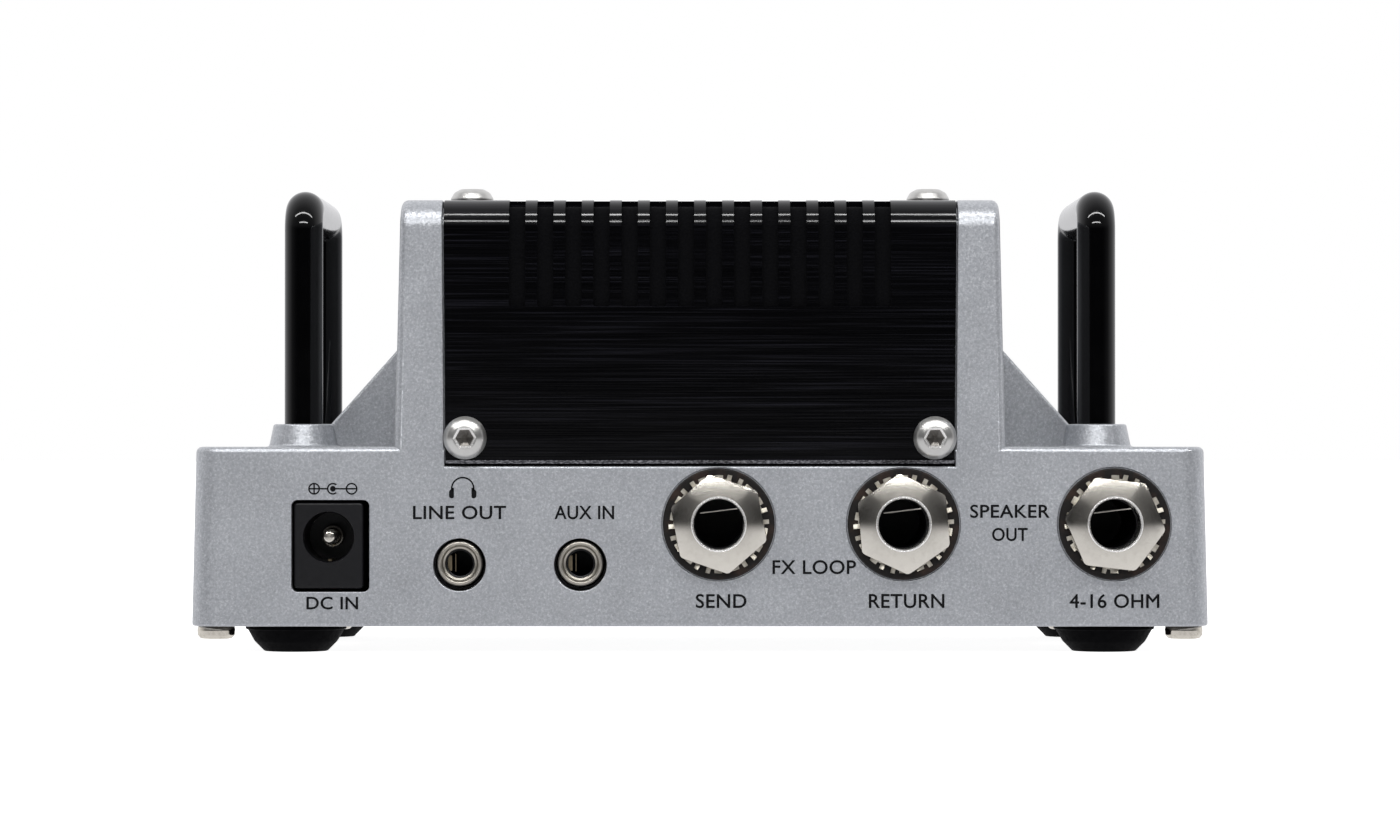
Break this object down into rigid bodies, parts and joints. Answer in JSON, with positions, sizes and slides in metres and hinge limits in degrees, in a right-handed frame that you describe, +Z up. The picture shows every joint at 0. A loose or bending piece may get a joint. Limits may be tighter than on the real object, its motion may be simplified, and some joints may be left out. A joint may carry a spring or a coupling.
{
  "type": "guitar amplifier head",
  "caption": "Miniature amplifier head: T-shaped die-cast box with a slotted black cover, two rod handles, knobs in front and sockets behind.",
  "frame": {"origin": "on the plane of the feet, under the middle of the whole object", "axes": "+X to the right seen from the controls, +Y to the rear where the sockets are, +Z up"},
  "size_m": [0.128, 0.075, 0.0588],
  "materials": {
    "housing_paint": "silver-grey metallic flake paint on a die casting, satin",
    "cover_black": "black anodised sheet, brushed along its length",
    "dust_felt": "matt black felt",
    "badge_aluminium": "satin, blank",
    "plate_steel": "black powder coat",
    "circuit_board": "green solder mask",
    "sink_aluminium": "plain mill finish",
    "handle_lacquer": "gloss black",
    "foot_rubber": "matt black",
    "screw_steel": "bright stainless",
    "socket_plastic": "black moulded",
    "nickel": "nickel plate, turned",
    "pot_case": "dark pressed case",
    "shaft_aluminium": "turned",
    "knob_aluminium": "turned, satin",
    "lamp_red": "clear red, unlit"
  },
  "bodies": {
    "amp": {"housing": "housing_paint", "top_cover": "cover_black", "front_dust_screen": "dust_felt", "rear_dust_screen": "dust_felt", "badge_plate": "badge_aluminium", "bottom_plate": "plate_steel", "main_board": "circuit_board", "heat_sink": "sink_aluminium", "left_handle": "handle_lacquer", "right_handle": "handle_lacquer", "front_left_foot": "foot_rubber", "front_left_bottom_screw": "screw_steel", "front_left_cover_screw": "screw_steel", "front_right_foot": "foot_rubber", "front_right_bottom_screw": "screw_steel", "front_right_cover_screw": "screw_steel", "rear_left_foot": "foot_rubber", "rear_left_bottom_screw": "screw_steel", "rear_left_cover_screw": "screw_steel", "rear_right_foot": "foot_rubber", "rear_right_bottom_screw": "screw_steel", "rear_right_cover_screw": "screw_steel", "top_left_cover_screw": "screw_steel", "top_right_cover_screw": "screw_steel", "send_jack_body": "socket_plastic", "send_jack_nut": "nickel", "send_jack_lock_washer": "nickel", "return_jack_body": "socket_plastic", "return_jack_nut": "nickel", "return_jack_lock_washer": "nickel", "speaker_jack_body": "socket_plastic", "speaker_jack_nut": "nickel", "speaker_jack_lock_washer": "nickel", "input_jack_body": "socket_plastic", "input_jack_nut": "nickel", "input_jack_lock_washer": "nickel", "line_output_jack_body": "socket_plastic", "line_output_jack_sleeve": "nickel", "aux_input_jack_body": "socket_plastic", "aux_input_jack_sleeve": "nickel", "dc_jack_body": "socket_plastic", "dc_jack_pin": "nickel", "gain_pot": "pot_case", "bass_pot": "pot_case", "middle_pot": "pot_case", "treble_pot": "pot_case", "volume_pot": "pot_case", "power_switch_body": "nickel", "power_lamp": "lamp_red"},
    "gain_knob": {"gain_knob": "knob_aluminium", "gain_pot_shaft": "shaft_aluminium"},
    "bass_knob": {"bass_knob": "knob_aluminium", "bass_pot_shaft": "shaft_aluminium"},
    "middle_knob": {"middle_knob": "knob_aluminium", "middle_pot_shaft": "shaft_aluminium"},
    "treble_knob": {"treble_knob": "knob_aluminium", "treble_pot_shaft": "shaft_aluminium"},
    "volume_knob": {"volume_knob": "knob_aluminium", "volume_pot_shaft": "shaft_aluminium"},
    "switch_lever": {"power_switch_lever": "nickel"}
  },
  "joints": [
    {"name": "gain_turn", "type": "hinge", "parent": "amp", "child": "gain_knob", "pos_m": [-0.032, -0.0266, 0.0154], "axis": [0, 1, 0], "range_deg": [-150, 150]},
    {"name": "bass_turn", "type": "hinge", "parent": "amp", "child": "bass_knob", "pos_m": [-0.016, -0.0266, 0.0154], "axis": [0, 1, 0], "range_deg": [-150, 150]},
    {"name": "middle_turn", "type": "hinge", "parent": "amp", "child": "middle_knob", "pos_m": [0, -0.0266, 0.0154], "axis": [0, 1, 0], "range_deg": [-150, 150]},
    {"name": "treble_turn", "type": "hinge", "parent": "amp", "child": "treble_knob", "pos_m": [0.016, -0.0266, 0.0154], "axis": [0, 1, 0], "range_deg": [-150, 150]},
    {"name": "volume_turn", "type": "hinge", "parent": "amp", "child": "volume_knob", "pos_m": [0.032, -0.0266, 0.0154], "axis": [0, 1, 0], "range_deg": [-150, 150]},
    {"name": "power_switch_throw", "type": "hinge", "parent": "amp", "child": "switch_lever", "pos_m": [0.0505, -0.0258, 0.0128], "axis": [-1, 0, 0], "range_deg": [0, 24]}
  ]
}
